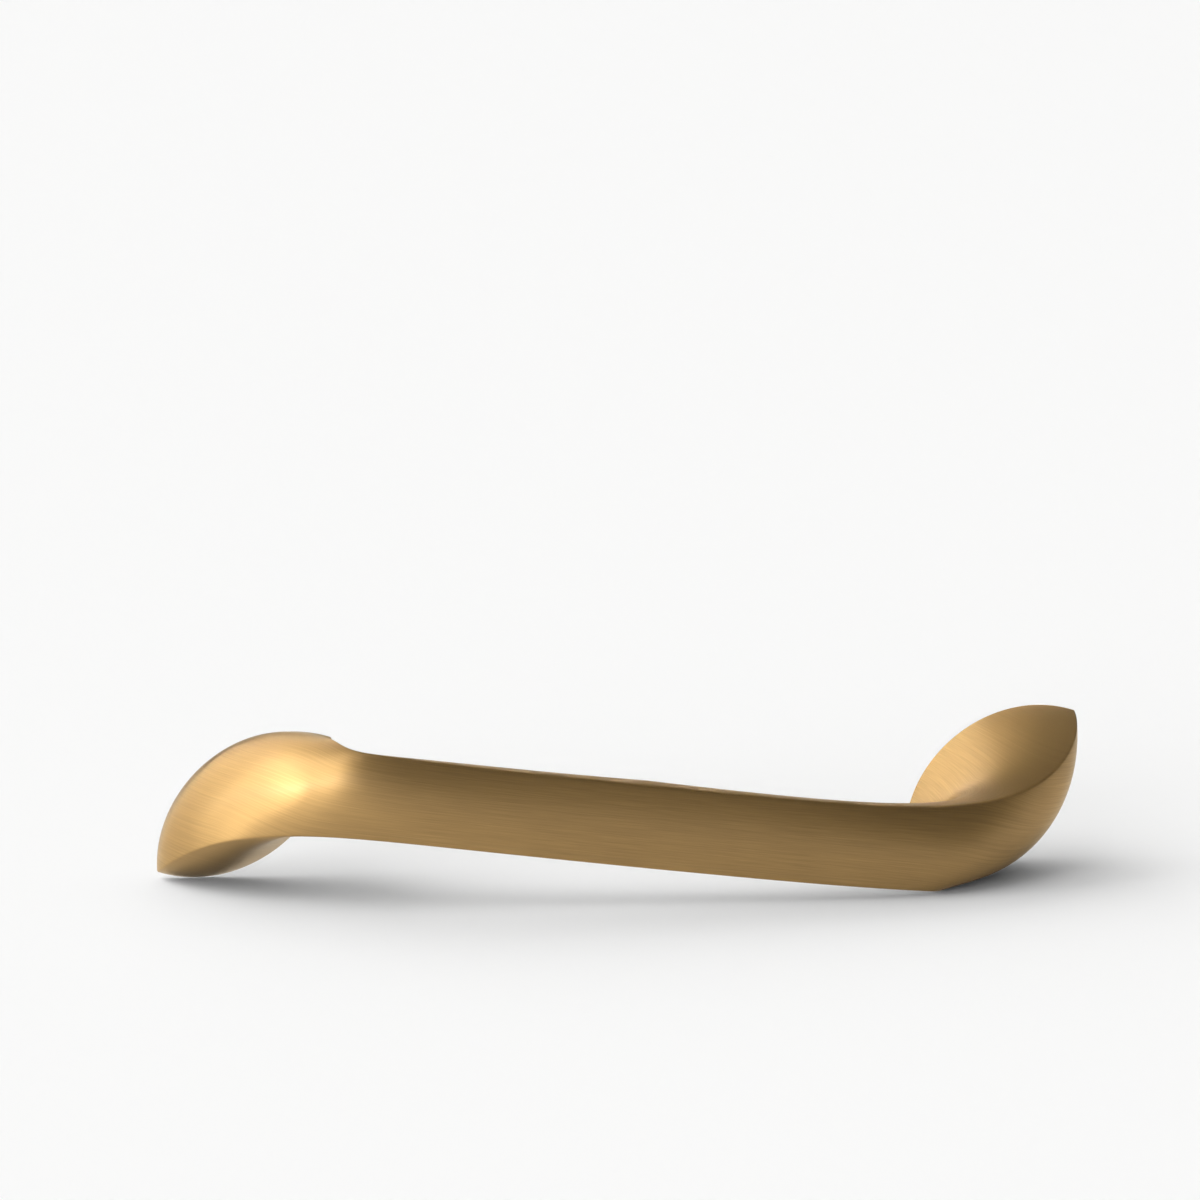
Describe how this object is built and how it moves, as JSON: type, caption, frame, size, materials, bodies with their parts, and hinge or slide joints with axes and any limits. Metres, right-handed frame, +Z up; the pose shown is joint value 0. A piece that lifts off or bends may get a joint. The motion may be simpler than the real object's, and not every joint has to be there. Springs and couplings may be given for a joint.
{
  "type": "cabinet pull",
  "caption": "Slim arched cabinet pull in brushed brass: a crowned bar whose ends sweep back and swell into diagonal almond-shaped feet, tapped for screws from behind the door.",
  "frame": {"origin": "midway between the two screw holes, on the mounting plane of the feet", "axes": "+X along the line of the screw holes, +Y out of the base of the feet into the door, so the bar stands at -Y, +Z up the door"},
  "size_m": [0.1576, 0.029, 0.029],
  "materials": {
    "brushed_brass": "satin, brushed along the length"
  },
  "bodies": {
    "root": {"pull": "brushed_brass"}
  },
  "joints": []
}
